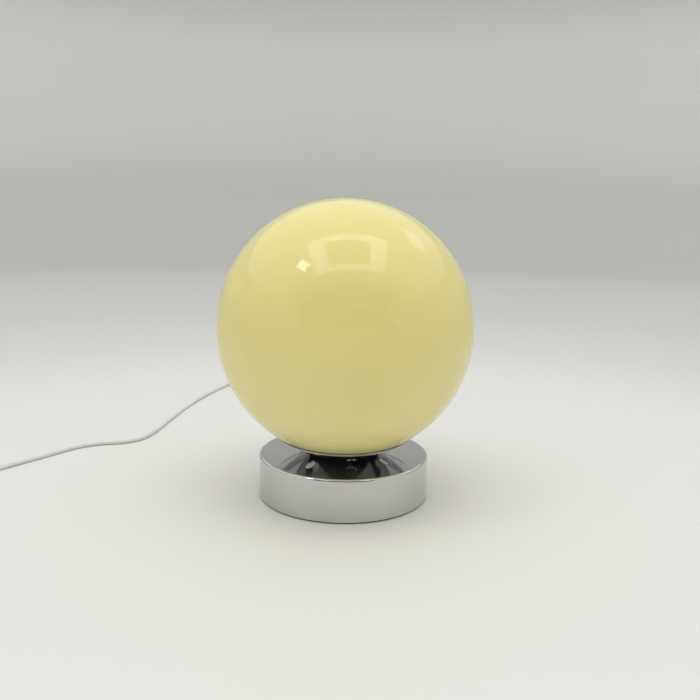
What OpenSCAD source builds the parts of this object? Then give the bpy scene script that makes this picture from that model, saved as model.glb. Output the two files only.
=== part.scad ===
// Table lamp: an opal glass globe resting in a shallow spun dish on a chromed drum.
// Origin on the table under the middle of the drum, +Z up, the cord leaves at +Y (the back).
// All sizes are in millimetres.

/* [Globe] */
// Outside diameter of the blown glass globe
globe_d = 200; // [160:5:240]
// Wall thickness of the glass
glass_t = 3; // [2.5:0.5:4]
// Clear diameter of the open mouth under the globe
mouth_d = 82; // [78:1:88]

/* [Drum] */
// Outside diameter of the drum
drum_d = 135; // [111:1:162]
// Height of the drum's top above the table
drum_h = 34; // [32:1:45]
// Radius of the drum's drawn top edge
edge_r = 2; // [1.5:0.5:4]
// Thickness of the drawn and spun sheet
sheet_t = 1; // [0.8:0.1:1.5]
// Thickness of the cast weight inside
weight_t = 12; // [9:1:13]
// Thickness of the foot ring
pad_t = 2; // [1.5:0.5:3]
// Width of the foot ring
pad_w = 12; // [8:1:14]

/* [Dish] */
// Diameter of the dish at its rim
dish_d = 102.5; // [98:0.5:110]
// Diameter of the flat middle that stands on the drum
dish_flat_d = 53; // [46:1:56]
// Slope of the dish's cone
dish_slope = 27.5; // [24:0.5:29]
// Space between the glass and the dish, which the seat ring fills
dish_gap = 0.6; // [0.5:0.1:1.6]
// Diameter of one vent hole
vent_d = 8; // [5:0.5:9]
// Diameter of the circle that the vent holes lie on
vent_circle_d = 68; // [60:1:70]
// Number of vent holes
vent_count = 6; // [3:3:6]
// Turn of the first vent hole from the front
vent_turn = 11; // [0:1:59]

/* [Stem and lampholder] */
// Diameter of the threaded stem
stem_d = 10; // [9:0.5:10]
// Bore of the stem, which the leads run through
stem_bore_d = 7.4; // [6.5:0.1:7.6]
// Across flats of the stem nuts
nut_af = 17; // [15:1:18]
// Outside diameter of the lampholder
holder_d = 40; // [39:0.5:44]
// Height of the lampholder's skirt
skirt_h = 29; // [28.5:0.5:33]

/* [Bulb] */
// Diameter of the bulb's dome
bulb_d = 60; // [50:1:66]
// Length of the bulb from its contact to its top
bulb_l = 108; // [102:1:116]

/* [Cord] */
// Diameter of the round cord
cord_d = 4; // [3.5:0.1:4]
// Length of the tapered strain relief outside the drum
relief_l = 26; // [20:1:26]

/* [Switch] */
// Length of the cord switch
switch_l = 62; // [56:1:68]
// Width of the cord switch
switch_w = 26; // [24:1:32]
// Height of the cord switch without its rocker
switch_h = 15; // [14.5:0.5:17]
// Tilt of the rocker either way from level
rocker_tilt = 7; // [5:1:8]

/* [Plug] */
// Diameter of a plug pin
pin_d = 4; // [3.8:0.1:4.8]
// Length of a plug pin
pin_l = 19; // [17:0.5:19]
// Distance between the plug pins
pin_pitch = 18.6; // [17.5:0.1:19]

/* [Hidden] */

// Clearances
fit = 0.1;
part_gap = 0.3;
screw_fit = 0.05;
round_steps = 96;
small_steps = 48;

// Heights, from the table upwards
drum_r = drum_d / 2;
wall_lift = 1.2;
plate_t = 1.2;
plate_z = pad_t;
under_top_z = drum_h - sheet_t;
weight_z = under_top_z - weight_t;
washer_t = 1.5;
nut_t = 4;
stem_tail = 2;
lower_nut_z = weight_z - washer_t - nut_t;
stem_z = lower_nut_z - stem_tail;
spider_t = 1;
dish_floor_z = drum_h + sheet_t;
spider_floor_z = dish_floor_z + spider_t;
upper_nut_z = spider_floor_z + washer_t;
cap_z = upper_nut_z + nut_t;

// The ball of the globe lies in the cone of the dish
globe_r = globe_d / 2;
dish_flat_r = dish_flat_d / 2;
dish_cone_r = dish_flat_r - sheet_t * tan(dish_slope / 2);
globe_z = dish_floor_z + (globe_r + dish_gap - dish_cone_r * sin(dish_slope)) / cos(dish_slope);
dish_bead_r = sheet_t / 2 + 0.1;
dish_bend_r = 4;
bend_steps = 6;
dish_rim_x = dish_d / 2 - dish_bead_r;
dish_rim_lift = 0.3;
dish_rim_mid = sheet_t / cos(dish_slope) / 2 + dish_rim_lift;
dish_rim_z = drum_h + (dish_rim_x - dish_flat_r) * tan(dish_slope) + dish_rim_mid;
mouth_r = mouth_d / 2;
glass_mid_r = globe_r - glass_t / 2;
mouth_angle = asin((mouth_r + glass_t / 2) / glass_mid_r);
far = 2 * globe_r;
seat_gap = 0.15;
seat_inner_x = mouth_r + 3;
seat_outer_x = min(seat_inner_x + 6, dish_rim_x - 1);

// Spider that centres the globe's mouth
spider_arm_w = 10;
spider_arm_count = 3;
spider_lip_x = mouth_r - 0.6;
spider_lip_h = 9;
spider_flat_r = dish_cone_r - fit / sin(dish_slope);
spider_hub_d = 24;

// Drum
pillar_circle_r = drum_r - 23;
pillar_af = 7;
pillar_stud_d = 3.8;
pillar_count = 3;
screw_d = 3;
screw_head_d = 5.8;
screw_head_h = 1.8;
weight_r = drum_r - sheet_t - 2.5;
plate_r = drum_r - sheet_t - 0.5;
weight_chamfer = 1.5;
weight_recess_r = 17;
weight_recess_h = 1;
lower_washer_r = 11;
exit_z = 12;
relief_neck_d = 7.4;
relief_catch_d = 9.4;
relief_flange_d = 11;
relief_flange_t = 2.4;
relief_tip_d = cord_d + 1.8;
relief_ribs = 5;
relief_groove_w = 1.3;
relief_groove_t = 0.7;
sheath_end_y = 40;

// Lampholder and bulb
holder_r = holder_d / 2;
holder_wall = 2;
cap_neck_r = 8;
cap_neck_h = 6;
cap_flare_h = 7;
cap_side_h = 15;
cap_top_z = cap_z + cap_neck_h + cap_flare_h + cap_side_h;
cap_inner_r = holder_r - holder_wall;
stem_top_z = cap_z + cap_neck_h - 1;
stem_r = stem_d / 2;
insert_flange_t = 3.8;
insert_body_h = 5.2;
insert_top_z = cap_top_z - 1;
insert_flange_z = insert_top_z - insert_body_h - insert_flange_t;
insert_r = cap_inner_r - holder_wall - fit;
terminal_l = 6;
terminal_h = 5;
terminal_x = 9;
terminal_z = insert_flange_z - terminal_h;
thread_major_r = 13.25;
thread_core_r = 12.4;
thread_pitch = 3.63;
thread_round_r = 0.9;
thread_count = 5;
thread_gap = 0.3;
shell_r = 14.4;
shell_h = 26;
contact_lift = 1.6;
bulb_z = insert_top_z + contact_lift + part_gap;
bulb_contact_h = 1.5;
insulator_h = 4.1;
bulb_cap_z = bulb_z + bulb_contact_h + insulator_h;
bulb_cap_top_z = bulb_z + 27;
first_thread_z = bulb_cap_z + 2.5;
bulb_r = bulb_d / 2;
bulb_top_z = bulb_z + bulb_l;
dome_z = bulb_top_z - bulb_r;
dome_drop = 0.33 * bulb_r;
dome_base_z = dome_z - dome_drop;
dome_base_r = sqrt(pow(bulb_r, 2) - pow(dome_drop, 2));
dome_t = 1.2;
board_t = 1.6;
led_count = 10;

// Switch, seen with its length along Y and the cord entering at both ends
switch_x = -322;
switch_y = -67;
switch_wall = 1.6;
switch_split_z = 7.5;
switch_corner_r = 9;
rocker_l = 19;
rocker_w = 11;
rocker_rise = 2.6;
rocker_pin_d = 3;
rocker_pin_l = 1.2;
rocker_axis_z = switch_h - 3.4;
rocker_gap = 0.5;
cheek_w = 2.2;
case_screw_x = 8.5;
case_screw_y = 20;
case_screw_d = 2.5;
case_crown_r = 120;

// Plug
plug_x = -378;
plug_front_y = 0;
plug_w = 35;
plug_t = 13.4;
plug_l = 36;
plug_grip_l = 14;
plug_neck_d = 10.4;
plug_tail_l = 25;
plug_tail_ribs = 4;
plug_axis_z = plug_t / 2;
pin_tip_h = 1.2;

// Cord from the strain relief at the back of the drum to the switch: points on its middle
exit_y = drum_r + relief_l;
lamp_route = [
  [0, exit_y, exit_z], [0, exit_y + 5, exit_z], [0, exit_y + 17, 10.4], [0, exit_y + 31, 6],
  [0, exit_y + 45, 2.8], [-1, exit_y + 59, 2],
  [-3, 190, 2], [-8, 235, 2], [-16, 280, 2], [-28, 325, 2], [-45, 366, 2], [-68, 397, 2],
  [-96, 410, 2], [-122, 401, 2], [-140, 376, 2], [-153, 342, 2], [-166, 300, 2],
  [-177, 250, 2], [-184, 200, 2], [-189, 158, 2], [-195, 132, 2], [-209, 117, 2],
  [-230, 111, 2], [-250, 98, 2], [-270, 71, 2], [-288, 47, 2], [-305, 22, 2],
  [-316, -1, 2.4], [-321, -15, 5], [-322, -28, 7.5], [-322, -44, 7.5]
];
// Cord from the switch to the coil
coil_route = [
  [-322, -90, 7.5], [-322, -103, 7.5], [-322, -114, 5.2], [-322, -126, 2.4], [-322, -136, 2], [-322, -142, 2]
];
// Cord from the coil to the plug
plug_route = [
  [-378, -142, 6.5], [-378, -137, 6.5], [-378, -126, 4.4], [-378, -114, 2.2], [-378, -102, 2],
  [-378, -90, 2.2], [-378, -78, 4.6], [-378, -67, 6.7], [-378, -56, 6.7]
];
// Leads from the end of the sheath up the stem to the terminals
lead_d = 1.9;
lead_x = 1.4;
lead_route = [
  [1, 40, exit_z], [1, 36, exit_z], [1.2, 26, 10], [1.4, 16, 6.8], [1.4, 8, 5.6], [1.4, 2, 8],
  [lead_x, 0, stem_z], [lead_x, 0, stem_z + 8], [lead_x, 0, stem_top_z - 6], [lead_x, 0, stem_top_z],
  [2.4, 0, stem_top_z + 3.2], [5.4, 0, terminal_z - 3.1], [terminal_x - 0.8, 0, terminal_z - 2.4],
  [terminal_x, 0, terminal_z - 1], [terminal_x, 0, terminal_z]
];

// Coil of the spare cord
coil_at = [-350, -146];
coil_outer_r = 28;
coil_inner_r = 17.65;
coil_turns = 4.5;
coil_step_z = cord_d + 0.5;
coil_rings = 24;
coil_sides = 6;
cord_sides = 8;
floor_z = 2;

// Clip round the coil at its side towards +Y, where the turns rise over the clip's lower wall
clip_t = 0.8;
clip_w = 6;
clip_corner_r = 0.6;
clip_slit = 0.4;
clip_latch_t = 1;
clip_latch_h = 4;
clip_lift = clip_t + 3 * fit;
clip_turn = 0.75;
clip_inner_r = coil_radius(clip_turn + 1) - cord_d / 2 - 5 * fit;
clip_outer_r = coil_radius(clip_turn) + cord_d / 2 + fit;

// Smooth curve through a list of points: place p in the stretch from point i to the next
function along(a, i, p) =
  let (n = len(a) - 1)
  let (b = a[max(i - 1, 0)], c = a[i], d = a[min(i + 1, n)], e = a[min(i + 2, n)])
  0.5 * ((2 * c) + (d - b) * p + (2 * b - 5 * c + 4 * d - e) * p * p
    + (3 * c - b - 3 * d + e) * p * p * p);

// Route with steps extra points in each stretch longer than the limit
function smooth(a, reach) =
  [for (i = [0:len(a) - 2])
    let (steps = max(1, ceil(norm(a[i + 1] - a[i]) / reach)))
    for (s = [0:steps - 1]) along(a, i, s / steps),
   a[len(a) - 1]];

function unit(v) = v / norm(v);
function heading(a, i) = unit(a[min(i + 1, len(a) - 1)] - a[max(i - 1, 0)]);

// Corners of the tube about point i, turned to a level side or to the side that is given
function ring(a, i, r, sides, side) =
  let (t = heading(a, i))
  let (s = is_undef(side) ? [-t[1], t[0], 0] : side)
  let (u = unit(s - t * (s * t)))
  let (v = cross(t, u))
  [for (k = [0:sides - 1])
    let (w = 360 * (k + 0.5) / sides)
    a[i] + r * (cos(w) * u + sin(w) * v)];

// Least distance between stretches of one path that are more than a near length apart
function least_gap(a, d, skip) =
  min([for (i = [0:len(a) - 1])
    for (j = [i + skip:1:len(a) - 1])
      norm(a[i] - a[j])]) - d;

// Steady spiral in and out again, one layer on the other, climbing where it turns back
function coil_radius(q) =
  coil_inner_r + (coil_outer_r - coil_inner_r) * abs(q - coil_turns / 2) / (coil_turns / 2);
function coil_climb(q) = min(1, max(0, (q - coil_turns / 2) * 2 + 0.5));
// Rise of the turns over the clip's lower wall
function clip_rise(q) = clip_lift * pow(max(0, sin(-360 * q)), 8);
function coil_height(q) = floor_z + coil_step_z * (1 - cos(180 * coil_climb(q))) / 2 + clip_rise(q);
function coil_path() =
  let (last = coil_turns * coil_rings)
  [[coil_at[0] + coil_outer_r, coil_at[1] + cord_d, floor_z],
   for (i = [0:last])
     let (q = i / coil_rings)
     let (r = coil_radius(q))
     [coil_at[0] + r * cos(-360 * q), coil_at[1] + r * sin(-360 * q), coil_height(q)],
   [coil_at[0] - coil_outer_r, coil_at[1] + cord_d, floor_z + coil_step_z]];

// Tube along a list of points
module tube(a, d, sides, side = undef) {
  n = len(a);
  points = [for (i = [0:n - 1]) each ring(a, i, d / 2, sides, side)];
  faces = [
    [for (k = [0:sides - 1]) k],
    for (i = [0:n - 2])
      for (k = [0:sides - 1])
        let (next = (k + 1) % sides)
        each [
          [i * sides + k, (i + 1) * sides + k, (i + 1) * sides + next],
          [i * sides + k, (i + 1) * sides + next, i * sides + next]
        ],
    [for (k = [sides - 1:-1:0]) (n - 1) * sides + k]
  ];
  polyhedron(points = points, faces = faces, convexity = 10);
}

// Hexagon nut with a bore
module nut(af, h, bore_d) {
  difference() {
    cylinder(d = af / cos(30), h = h, $fn = 6);
    translate([0, 0, -1])
      cylinder(d = bore_d, h = h + 2, $fn = small_steps);
  }
}

module washer(r, h, bore_d) {
  difference() {
    cylinder(r = r, h = h, $fn = small_steps);
    translate([0, 0, -1])
      cylinder(d = bore_d, h = h + 2, $fn = small_steps);
  }
}

// Places its children on the pillars' circle
module at_pillars() {
  for (i = [0:pillar_count - 1])
    rotate(90 + (i + 0.5) * 360 / pillar_count)
      translate([pillar_circle_r, 0, 0])
        children();
}

// Ring of felted foam that the drum stands on
module foot_pad() {
  color("dimgray")
    difference() {
      cylinder(r = plate_r - fit, h = pad_t, $fn = round_steps);
      translate([0, 0, -1])
        cylinder(r = plate_r - fit - pad_w, h = pad_t + 2, $fn = round_steps);
    }
}

module bottom_plate() {
  color("gray")
    difference() {
      translate([0, 0, plate_z])
        cylinder(r = plate_r, h = plate_t, $fn = round_steps);
      at_pillars()
        cylinder(d = screw_d + 2 * fit, h = drum_h, $fn = small_steps);
    }
}

// Pan head screws that hold the bottom plate to the pillars
module plate_screws() {
  color("silver")
    at_pillars()
      difference() {
        union() {
          translate([0, 0, plate_z - screw_head_h])
            cylinder(d = screw_head_d, h = screw_head_h, $fn = small_steps);
          translate([0, 0, plate_z - screw_head_h / 2])
            cylinder(d = screw_d, h = plate_t + 7, $fn = small_steps);
        }
        translate([-screw_head_d, -0.4, -1])
          cube([2 * screw_head_d, 0.8, plate_z - screw_head_h + 1.8]);
      }
}

// Hexagon pillars between the bottom plate and the weight
module plate_pillars() {
  pillar_z = plate_z + plate_t;
  color("silver")
    at_pillars()
      difference() {
        union() {
          translate([0, 0, pillar_z])
            cylinder(d = pillar_af / cos(30), h = weight_z - pillar_z, $fn = 6);
          translate([0, 0, weight_z - 1])
            cylinder(d = pillar_stud_d, h = 7, $fn = small_steps);
        }
        translate([0, 0, pillar_z - 1])
          cylinder(d = screw_d + 2 * screw_fit, h = 9, $fn = small_steps);
      }
}

// Cast disc clamped under the drum's top
module base_weight() {
  color("darkslategray")
    difference() {
      union() {
        translate([0, 0, weight_z])
          cylinder(r1 = weight_r - weight_chamfer, r2 = weight_r, h = weight_chamfer, $fn = round_steps);
        translate([0, 0, weight_z + weight_chamfer])
          cylinder(r = weight_r, h = weight_t - weight_chamfer, $fn = round_steps);
      }
      translate([0, 0, weight_z - 1])
        cylinder(d = stem_d + 2 * fit, h = weight_t + 2, $fn = small_steps);
      translate([0, 0, under_top_z - weight_recess_h])
        cylinder(r = weight_recess_r, h = weight_recess_h + 1, $fn = small_steps);
      at_pillars()
        translate([0, 0, weight_z - 1])
          cylinder(d = pillar_stud_d + 2 * screw_fit, h = 8, $fn = small_steps);
    }
}

// Outline of the drum from its middle to its side, with the drawn edge at its top
module drum_outline(r, low_z, top_z, corner) {
  union() {
    translate([0, low_z])
      square([r, top_z - corner - low_z]);
    translate([0, low_z])
      square([r - corner, top_z - low_z]);
    translate([r - corner, top_z - corner])
      circle(r = corner, $fn = small_steps);
  }
}

module drum_shell() {
  color("lightgray")
    difference() {
      rotate_extrude($fn = round_steps)
        difference() {
          intersection() {
            drum_outline(drum_r, wall_lift, drum_h, edge_r);
            square([drum_r + 1, drum_h + 1]);
          }
          drum_outline(drum_r - sheet_t, wall_lift - 1, under_top_z, edge_r - sheet_t);
          square([stem_r + fit, drum_h + 1]);
        }
      translate([0, drum_r - 10, exit_z])
        rotate([-90, 0, 0])
          cylinder(d = relief_neck_d + 2 * fit, h = 20, $fn = small_steps);
    }
}

// Threaded hollow stem that clamps weight, drum and dish together
module stem_tube() {
  color("goldenrod")
    difference() {
      translate([0, 0, stem_z])
        cylinder(d = stem_d, h = stem_top_z - stem_z, $fn = small_steps);
      translate([0, 0, stem_z - 1])
        cylinder(d = stem_bore_d, h = stem_top_z - stem_z + 2, $fn = small_steps);
    }
}

module lower_washer() {
  color("silver")
    translate([0, 0, weight_z - washer_t])
      washer(lower_washer_r, washer_t, stem_d + 2 * fit);
}

module lower_nut() {
  color("silver")
    translate([0, 0, lower_nut_z])
      nut(nut_af, nut_t, stem_d + 2 * screw_fit);
}

// Outline of a sheet of even thickness: a flat middle, a bend and a cone at the dish's slope
module cone_outline(flat_r, t, floor_z, rim_x, bend_r) {
  bend_x = flat_r - (bend_r + t) * tan(dish_slope / 2);
  bend_z = floor_z + t + bend_r;
  rim_z = floor_z + (rim_x - flat_r) * tan(dish_slope);
  polygon([
    [0, floor_z],
    for (i = [0:bend_steps])
      let (w = i * dish_slope / bend_steps)
      [bend_x + (bend_r + t) * sin(w), bend_z - (bend_r + t) * cos(w)],
    [rim_x, rim_z], [rim_x, rim_z + t / cos(dish_slope)],
    for (i = [bend_steps:-1:0])
      let (w = i * dish_slope / bend_steps)
      [bend_x + bend_r * sin(w), bend_z - bend_r * cos(w)],
    [0, floor_z + t]
  ]);
}

module dish() {
  color("lightgray")
    difference() {
      rotate_extrude($fn = round_steps)
        union() {
          difference() {
            cone_outline(dish_flat_r, sheet_t, drum_h, dish_rim_x, dish_bend_r);
            square([stem_r + fit, far]);
          }
          translate([dish_rim_x, dish_rim_z])
            circle(r = dish_bead_r, $fn = small_steps);
        }
      for (i = [0:vent_count - 1])
        rotate(vent_turn - 90 + i * 360 / vent_count)
          translate([vent_circle_d / 2, 0, drum_h])
            cylinder(d = vent_d, h = 20, $fn = small_steps);
    }
}

// Height of the dish's upper face at a distance from the middle
function dish_top(x) = dish_floor_z + (x - dish_cone_r) * tan(dish_slope);

// Height of the seat ring's upper face, just below the glass, at a distance from the middle
function seat_top(x) = globe_z - sqrt(pow(globe_r + seat_gap, 2) - pow(x, 2));

// Soft ring that the glass rests on
module seat_ring() {
  lift = fit / cos(dish_slope);
  color("whitesmoke")
    rotate_extrude($fn = round_steps)
      polygon([
        [seat_inner_x, dish_top(seat_inner_x) + lift], [seat_outer_x, dish_top(seat_outer_x) + lift],
        [seat_outer_x, seat_top(seat_outer_x)], [seat_inner_x, seat_top(seat_inner_x)]
      ]);
}

// Pressed plate whose three turned-up arms centre the mouth of the globe
module centring_spider() {
  lip_z = dish_floor_z + (spider_lip_x - spider_flat_r) * tan(dish_slope);
  color("silver")
    difference() {
      intersection() {
        rotate_extrude($fn = round_steps)
          union() {
            cone_outline(spider_flat_r, spider_t, dish_floor_z, spider_lip_x, dish_bend_r - spider_t);
            translate([spider_lip_x - spider_t, lip_z])
              square([spider_t, spider_lip_h]);
          }
        union() {
          cylinder(d = spider_hub_d, h = far, $fn = small_steps);
          for (i = [0:spider_arm_count - 1])
            rotate(vent_turn - 60 + i * 360 / spider_arm_count)
              translate([0, -spider_arm_w / 2, 0])
                cube([globe_r, spider_arm_w, far]);
        }
      }
      cylinder(r = stem_r + fit, h = far, $fn = small_steps);
    }
}

module upper_washer() {
  color("silver")
    translate([0, 0, spider_floor_z])
      washer(spider_hub_d / 2 - 0.5, washer_t, stem_d + 2 * fit);
}

module upper_nut() {
  color("silver")
    translate([0, 0, upper_nut_z])
      nut(nut_af, nut_t, stem_d + 2 * screw_fit);
}

// Lower half of the lampholder, screwed on to the stem
module holder_cap() {
  flare_z = cap_z + cap_neck_h;
  side_z = flare_z + cap_flare_h;
  color("white")
    difference() {
      rotate_extrude($fn = round_steps)
        difference() {
          union() {
            translate([0, cap_z])
              square([cap_neck_r, cap_neck_h + 1]);
            polygon([
              [0, flare_z], [cap_neck_r, flare_z], [cap_neck_r + 3, flare_z + 0.6],
              [holder_r - 1.5, side_z - 1.5], [holder_r, side_z], [holder_r, cap_top_z], [0, cap_top_z]
            ]);
          }
          polygon([
            [0, flare_z + 1.5], [cap_neck_r, flare_z + 2], [cap_inner_r, side_z],
            [cap_inner_r, cap_top_z + 1], [0, cap_top_z + 1]
          ]);
          square([stem_r + screw_fit, far]);
        }
      translate([0, 0, cap_z + cap_neck_h / 2])
        rotate([90, 0, 0])
          cylinder(d = screw_d + 2 * screw_fit, h = 2 * cap_neck_r, $fn = small_steps);
    }
}

// Grub screw that stops the lampholder turning on the stem
module grub_screw() {
  color("silver")
    translate([0, -cap_neck_r, cap_z + cap_neck_h / 2])
      rotate([-90, 0, 0])
        difference() {
          cylinder(d = screw_d, h = cap_neck_r - stem_r - fit, $fn = small_steps);
          translate([-screw_d, -0.3, -1])
            cube([2 * screw_d, 0.6, 1.8]);
        }
}

// Heat-proof block that carries the terminals and contacts
module holder_insert() {
  color("ivory")
    difference() {
      union() {
        translate([0, 0, insert_flange_z])
          cylinder(r = cap_inner_r - fit, h = insert_flange_t, $fn = small_steps);
        translate([0, 0, insert_flange_z])
          cylinder(r = insert_r, h = insert_top_z - insert_flange_z, $fn = small_steps);
      }
      for (side = [-1, 1])
        translate([0, side * (insert_r - 4), insert_flange_z - 1])
          cylinder(d = 4, h = far, $fn = small_steps);
    }
}

module terminal_blocks() {
  color("goldenrod")
    for (side = [-1, 1])
      translate([side * terminal_x - terminal_l / 2, -terminal_l / 2, terminal_z])
        cube([terminal_l, terminal_l, terminal_h]);
}

module terminal_screws() {
  color("silver")
    for (side = [-1, 1])
      translate([side * (terminal_x + terminal_l / 2), 0, terminal_z + terminal_h / 2])
        rotate([0, side * 90, 0])
          difference() {
            cylinder(d = 4, h = 1.4, $fn = small_steps);
            translate([-3, -0.3, 0.8])
              cube([6, 0.6, 1]);
          }
}

// Springy tongue that presses on the bulb's tip
module centre_contact() {
  tongue_w = 5;
  tongue_t = 0.4;
  color("goldenrod")
    translate([0, tongue_w / 2, insert_top_z])
      rotate([90, 0, 0])
        linear_extrude(tongue_w)
          polygon([
            [-8, 0], [-3, 0], [2.5, contact_lift - tongue_t], [4, contact_lift - tongue_t],
            [4, contact_lift], [2.3, contact_lift], [-3.2, tongue_t], [-8, tongue_t]
          ]);
}

// Solid of the bulb's rolled thread, grown all over by a gap
module thread_form(grow, low_z, top_z) {
  rotate_extrude($fn = round_steps)
    union() {
      translate([0, low_z])
        square([thread_core_r + grow, top_z - low_z]);
      for (i = [0:thread_count - 1])
        translate([thread_major_r - thread_round_r, first_thread_z + i * thread_pitch])
          circle(r = thread_round_r + grow, $fn = small_steps);
    }
}

module screw_shell() {
  color("goldenrod")
    difference() {
      translate([0, 0, insert_top_z])
        cylinder(r = shell_r, h = shell_h, $fn = round_steps);
      thread_form(thread_gap, insert_top_z - 1, insert_top_z + shell_h + 1);
      translate([0, 0, first_thread_z + (thread_count - 1) * thread_pitch])
        cylinder(r = thread_major_r + thread_gap, h = far, $fn = round_steps);
    }
}

// Upper half of the lampholder, screwed into the cap over the insert
module holder_skirt() {
  lip_t = 1.6;
  color("white")
    rotate_extrude($fn = round_steps)
      difference() {
        union() {
          translate([0, insert_flange_z + insert_flange_t + fit])
            square([cap_inner_r - fit, 8]);
          polygon([
            [0, cap_top_z], [holder_r, cap_top_z], [holder_r, cap_top_z + 3],
            [holder_r - 0.7, cap_top_z + 4], [holder_r - 1, cap_top_z + skirt_h - 1],
            [holder_r - 2, cap_top_z + skirt_h], [0, cap_top_z + skirt_h]
          ]);
        }
        square([cap_inner_r - holder_wall, cap_top_z + skirt_h - lip_t]);
        square([shell_r + 0.8, far]);
      }
}

// Hollow globe of opal glass, open underneath, with a fire-rounded mouth
module globe() {
  color("lemonchiffon")
    rotate_extrude($fn = 2 * round_steps)
      union() {
        difference() {
          intersection() {
            translate([0, globe_z])
              circle(r = globe_r, $fn = 2 * round_steps);
            polygon([
              [0, globe_z], [far * sin(mouth_angle), globe_z - far * cos(mouth_angle)],
              [far, globe_z - far], [far, globe_z + far], [0, globe_z + far]
            ]);
          }
          translate([0, globe_z])
            circle(r = globe_r - glass_t, $fn = 2 * round_steps);
        }
        translate([glass_mid_r * sin(mouth_angle), globe_z - glass_mid_r * cos(mouth_angle)])
          circle(r = glass_t / 2, $fn = small_steps);
      }
}

module bulb_contact() {
  color("silver")
    translate([0, 0, bulb_z])
      cylinder(r1 = 4, r2 = 4.8, h = bulb_contact_h, $fn = small_steps);
}

module bulb_insulator() {
  color("black")
    translate([0, 0, bulb_z + bulb_contact_h])
      cylinder(r1 = 5.4, r2 = 9.6, h = insulator_h, $fn = small_steps);
}

// Nickelled screw cap of the bulb
module bulb_cap() {
  shoulder_h = 1.6;
  color("silver")
    union() {
      translate([0, 0, bulb_cap_z])
        cylinder(r1 = 9.6, r2 = thread_core_r, h = shoulder_h, $fn = round_steps);
      thread_form(0, bulb_cap_z + shoulder_h, bulb_cap_top_z);
    }
}

// Flared housing between the cap and the dome
module bulb_housing() {
  rise = dome_base_z - bulb_cap_top_z;
  spread = dome_base_r - thread_major_r;
  steps = 10;
  color("white")
    rotate_extrude($fn = round_steps)
      difference() {
        polygon([
          [0, bulb_cap_top_z],
          for (i = [0:steps])
            let (p = i / steps)
            [thread_major_r + spread * (1 - cos(180 * p)) / 2, bulb_cap_top_z + rise * p],
          [0, dome_base_z]
        ]);
        translate([0, dome_base_z - board_t])
          square([dome_base_r - dome_t - 1, board_t + 1]);
      }
}

// Round board with its ring of light chips
module bulb_led_board() {
  color("whitesmoke") {
    translate([0, 0, dome_base_z - board_t])
      cylinder(r = dome_base_r - dome_t - 1 - fit, h = board_t, $fn = small_steps);
    for (i = [0:led_count - 1])
      rotate(i * 360 / led_count)
        translate([0.6 * dome_base_r, -1.75, dome_base_z - 0.2])
          cube([2.8, 3.5, 1]);
  }
}

module bulb_dome() {
  color("white")
    difference() {
      translate([0, 0, dome_z])
        sphere(r = bulb_r, $fn = round_steps);
      translate([0, 0, dome_z])
        sphere(r = bulb_r - dome_t, $fn = round_steps);
      translate([0, 0, dome_base_z - far])
        cylinder(r = bulb_d, h = far, $fn = round_steps);
    }
}

// Ribbed taper round the cord: from its wide end at zero to its tip, with grooves between the ribs
module taper_outline(wide_d, tip_d, l, ribs) {
  step = l / (ribs + 0.5);
  difference() {
    polygon([[0, 0], [wide_d / 2, 0], [tip_d / 2, l], [0, l]]);
    for (i = [1:ribs])
      let (r = (wide_d + (tip_d - wide_d) * i / (ribs + 0.5)) / 2)
      translate([r - relief_groove_t, i * step - relief_groove_w / 2])
        square([wide_d, relief_groove_w]);
  }
}

// Moulded relief: a neck and a catch in the drum's wall, a flange and a ribbed taper
module cord_relief() {
  color("whitesmoke")
    translate([0, drum_r, exit_z])
      rotate([-90, 0, 0])
        rotate_extrude($fn = small_steps)
          difference() {
            union() {
              translate([0, -sheet_t - 2.5])
                square([relief_neck_d / 2, sheet_t + 3]);
              translate([0, -sheet_t - 2.5])
                square([relief_catch_d / 2, 1.6]);
              square([relief_flange_d / 2, relief_flange_t]);
              translate([0, relief_flange_t])
                taper_outline(relief_flange_d - 2, relief_tip_d, relief_l - relief_flange_t, relief_ribs);
            }
            translate([0, -far])
              square([cord_d / 2 + fit, 2 * far]);
          }
}

// Sheathed end of the cord inside the drum
module cord_inner() {
  color("whitesmoke")
    translate([0, sheath_end_y, exit_z])
      rotate([-90, 0, 0])
        cylinder(d = cord_d, h = drum_r + relief_l - sheath_end_y, $fn = small_steps);
}

module lead_live() {
  color("sienna")
    tube(smooth(lead_route, 5), lead_d, 6, [1, 0, 0]);
}

module lead_neutral() {
  color("royalblue")
    mirror([1, 0, 0])
      tube(smooth(lead_route, 5), lead_d, 6, [1, 0, 0]);
}

module cord_lamp_run() {
  color("whitesmoke")
    tube(smooth(lamp_route, 13), cord_d, cord_sides);
}

module cord_coil_run() {
  color("whitesmoke")
    tube(smooth(coil_route, 13), cord_d, cord_sides);
}

module cord_coil() {
  path = coil_path();
  echo(coil_gap = least_gap(path, cord_d, coil_rings / 2));
  color("whitesmoke")
    tube(path, cord_d, coil_sides);
}

// Rectangle with round corners, its low corner at the origin
module round_box(w, h, r) {
  translate([r, 0])
    square([w - 2 * r, h]);
  translate([0, r])
    square([w, h - 2 * r]);
  for (x = [r, w - r])
    for (y = [r, h - r])
      translate([x, y])
        circle(r = r, $fn = small_steps);
}

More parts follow.
